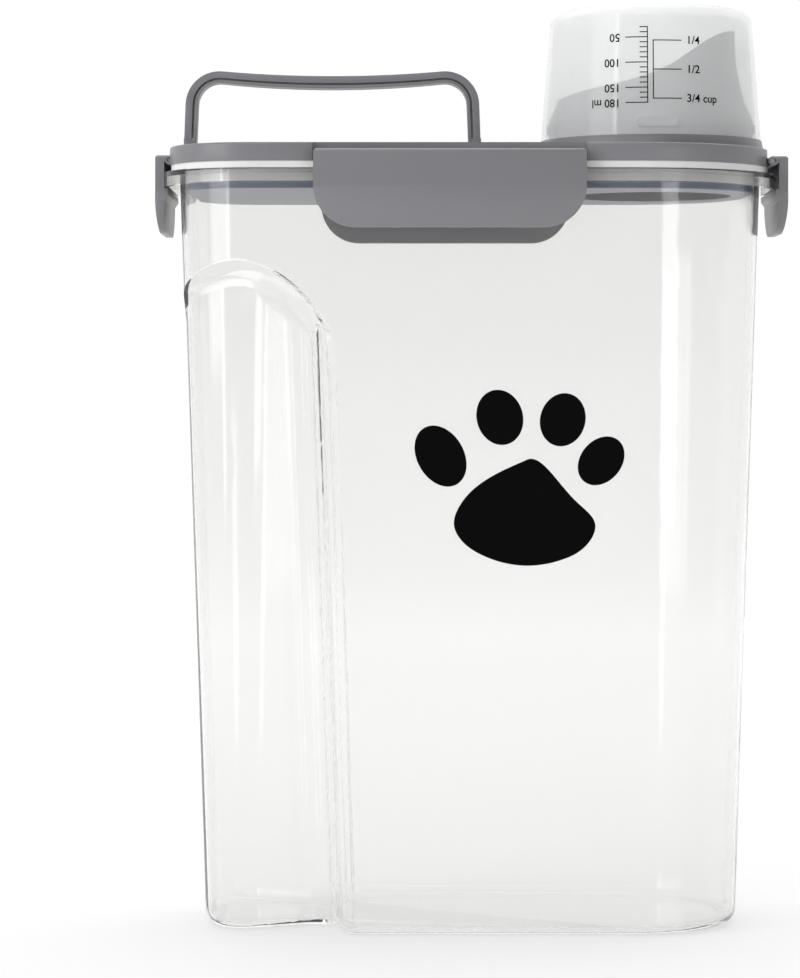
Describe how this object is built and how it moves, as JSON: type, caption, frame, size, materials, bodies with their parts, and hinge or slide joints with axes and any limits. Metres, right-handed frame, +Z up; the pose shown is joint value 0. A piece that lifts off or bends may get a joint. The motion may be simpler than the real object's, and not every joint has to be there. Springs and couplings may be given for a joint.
{
  "type": "pet food storage container",
  "caption": "Clear tapered dry food container with hand grips, a clip-on grey lid, folding handle, pouring spout and measuring cup cap.",
  "frame": {"origin": "centre of the bounding box on the surface that the container stands on", "axes": "+Z up, X along the length with the spout and cup at +X and the grips at -X, front face at -Y"},
  "size_m": [0.2456, 0.1396, 0.3582],
  "materials": {
    "clear_body": "clear glossy moulded polystyrene, smooth walls",
    "print": "flat black screen print",
    "grey_shell": "satin grey moulded polypropylene",
    "grey_clip": "satin grey moulded polypropylene",
    "silicone": "soft white silicone",
    "grey_seal": "soft grey silicone",
    "frosted_cup": "slightly frosted clear polypropylene",
    "pin_steel": "drawn steel wire"
  },
  "bodies": {
    "container": {"container_body": "clear_body", "paw_print": "print"},
    "lid": {"lid_panel": "grey_shell", "lid_underplate": "grey_shell", "lid_gasket": "silicone", "pour_spout": "grey_shell", "cup_seal": "grey_seal", "handle_pin_left": "pin_steel", "handle_pin_right": "pin_steel", "front_clip_pin": "pin_steel", "rear_clip_pin": "pin_steel", "left_clip_pin": "pin_steel", "right_clip_pin": "pin_steel"},
    "cup": {"measuring_cup": "frosted_cup"},
    "handle": {"carry_handle": "grey_clip"},
    "front_clip": {"front_clip": "grey_clip"},
    "rear_clip": {"rear_clip": "grey_clip"},
    "left_clip": {"left_clip": "grey_clip"},
    "right_clip": {"right_clip": "grey_clip"}
  },
  "joints": [
    {"name": "lid_lift", "type": "slide", "parent": "container", "child": "lid", "axis": [0, 0, 1], "range_m": [0, 0.06]},
    {"name": "cup_lift", "type": "slide", "parent": "lid", "child": "cup", "axis": [0, 0, 1], "range_m": [0, 0.06]},
    {"name": "handle_fold", "type": "hinge", "parent": "lid", "child": "handle", "pos_m": [-0.0547, 0, 0.3024], "axis": [-1, 0, 0], "range_deg": [0, 90]},
    {"name": "front_clip_hinge", "type": "hinge", "parent": "lid", "child": "front_clip", "pos_m": [-0.0092, -0.064, 0.2979], "axis": [-1, 0, 0], "range_deg": [0, 90]},
    {"name": "rear_clip_hinge", "type": "hinge", "parent": "lid", "child": "rear_clip", "pos_m": [-0.0092, 0.064, 0.2979], "axis": [1, 0, 0], "range_deg": [0, 90]},
    {"name": "left_clip_hinge", "type": "hinge", "parent": "lid", "child": "left_clip", "pos_m": [-0.117, 0, 0.2979], "axis": [0, 1, 0], "range_deg": [0, 90]},
    {"name": "right_clip_hinge", "type": "hinge", "parent": "lid", "child": "right_clip", "pos_m": [0.117, 0, 0.2979], "axis": [0, -1, 0], "range_deg": [0, 90]}
  ]
}
